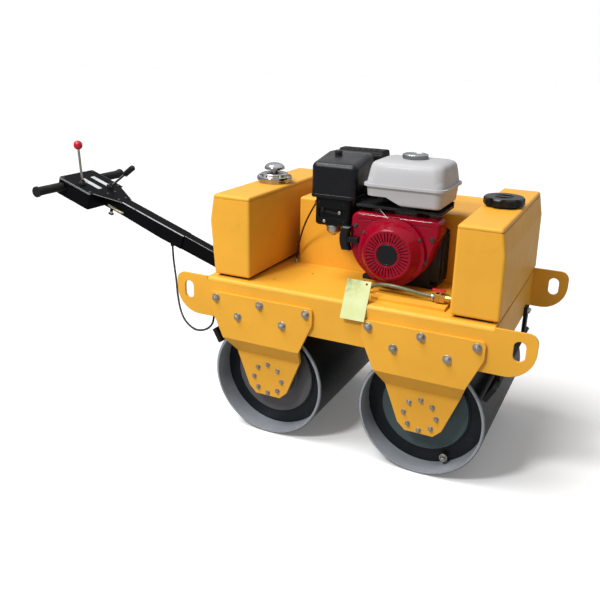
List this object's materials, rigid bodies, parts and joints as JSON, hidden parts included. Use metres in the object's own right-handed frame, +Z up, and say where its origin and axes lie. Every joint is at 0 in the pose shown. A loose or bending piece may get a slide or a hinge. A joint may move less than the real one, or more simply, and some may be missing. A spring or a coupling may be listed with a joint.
{
  "type": "walk-behind double-drum road roller",
  "caption": "Walk-behind road roller: smooth steel drums on joggled brackets under a folded deck that carries an open engine between tanks, steered by a folding handle with control levers.",
  "frame": {"origin": "on the ground, under the middle of the whole length, midway between the side plates", "axes": "+X ahead, away from the handle; +Y to the machine's left; +Z up"},
  "size_m": [2.03, 0.7155, 1.0245],
  "materials": {
    "yellow_paint": "satin orange-yellow paint",
    "drum_steel": "dark rolled steel with worn rims",
    "machined_steel": "machined",
    "cast_housing": "cast, dull",
    "black_rubber": "matt",
    "chrome_plate": "polished plating",
    "black_plastic": "grained black",
    "red_paint": "gloss red",
    "grey_paint": "gloss light grey",
    "hot_steel": "heat-dulled plate",
    "brass_fitting": "turned brass",
    "black_paint": "satin black paint",
    "red_plastic": "gloss red",
    "black_cable": "sheathed cable",
    "clear_hose": "cloudy hose",
    "paper_card": "plain card"
  },
  "bodies": {
    "chassis": {"air_cleaner": "black_plastic", "belt_guard": "yellow_paint", "cable_glands": "black_rubber", "carburettor": "black_plastic", "control_cable": "black_cable", "crankcase": "cast_housing", "cross_members": "yellow_paint", "cylinder_head": "cast_housing", "deck": "yellow_paint", "drum_bracket_front_left": "yellow_paint", "drum_bracket_front_right": "yellow_paint", "drum_bracket_rear_left": "yellow_paint", "drum_bracket_rear_right": "yellow_paint", "engine_base": "cast_housing", "fan_cover": "red_paint", "front_tank": "yellow_paint", "front_tank_cap": "black_plastic", "fuel_cap": "grey_paint", "fuel_tank": "grey_paint", "handle_clevis": "black_paint", "handle_pin": "machined_steel", "hang_tag": "paper_card", "hub_housings": "cast_housing", "muffler": "hot_steel", "rear_tank": "yellow_paint", "rear_tank_cap": "chrome_plate", "recoil_cover": "red_paint", "recoil_grip": "black_plastic", "scrapers": "black_rubber", "side_plate_left": "yellow_paint", "side_plate_right": "yellow_paint", "tank_pads": "black_rubber", "throttle_cable": "black_cable", "water_hose": "clear_hose", "water_valve": "brass_fitting"},
    "rear_drum": {"drum_axle_rear": "machined_steel", "drum_shell_rear": "drum_steel", "drum_webs_rear": "drum_steel"},
    "front_drum": {"drum_axle_front": "machined_steel", "drum_shell_front": "drum_steel", "drum_webs_front": "drum_steel"},
    "handle": {"arm_lower": "black_paint", "arm_upper": "black_paint", "control_box": "black_paint", "control_panel": "black_paint", "handlebar": "black_paint", "grips": "black_rubber", "control_levers": "machined_steel", "drive_knob": "red_plastic", "speed_knob": "black_plastic"}
  },
  "joints": [
    {"name": "rear_drum_turn", "type": "hinge", "parent": "chassis", "child": "rear_drum", "pos_m": [0.11098, 0, 0.2125], "axis": [0, 1, 0], "continuous": true},
    {"name": "front_drum_turn", "type": "hinge", "parent": "chassis", "child": "front_drum", "pos_m": [0.67498, 0, 0.2125], "axis": [0, 1, 0], "continuous": true},
    {"name": "handle_fold", "type": "hinge", "parent": "chassis", "child": "handle", "pos_m": [-0.15202, 0, 0.4854], "axis": [0, 1, 0], "range_deg": [0, 65]}
  ]
}
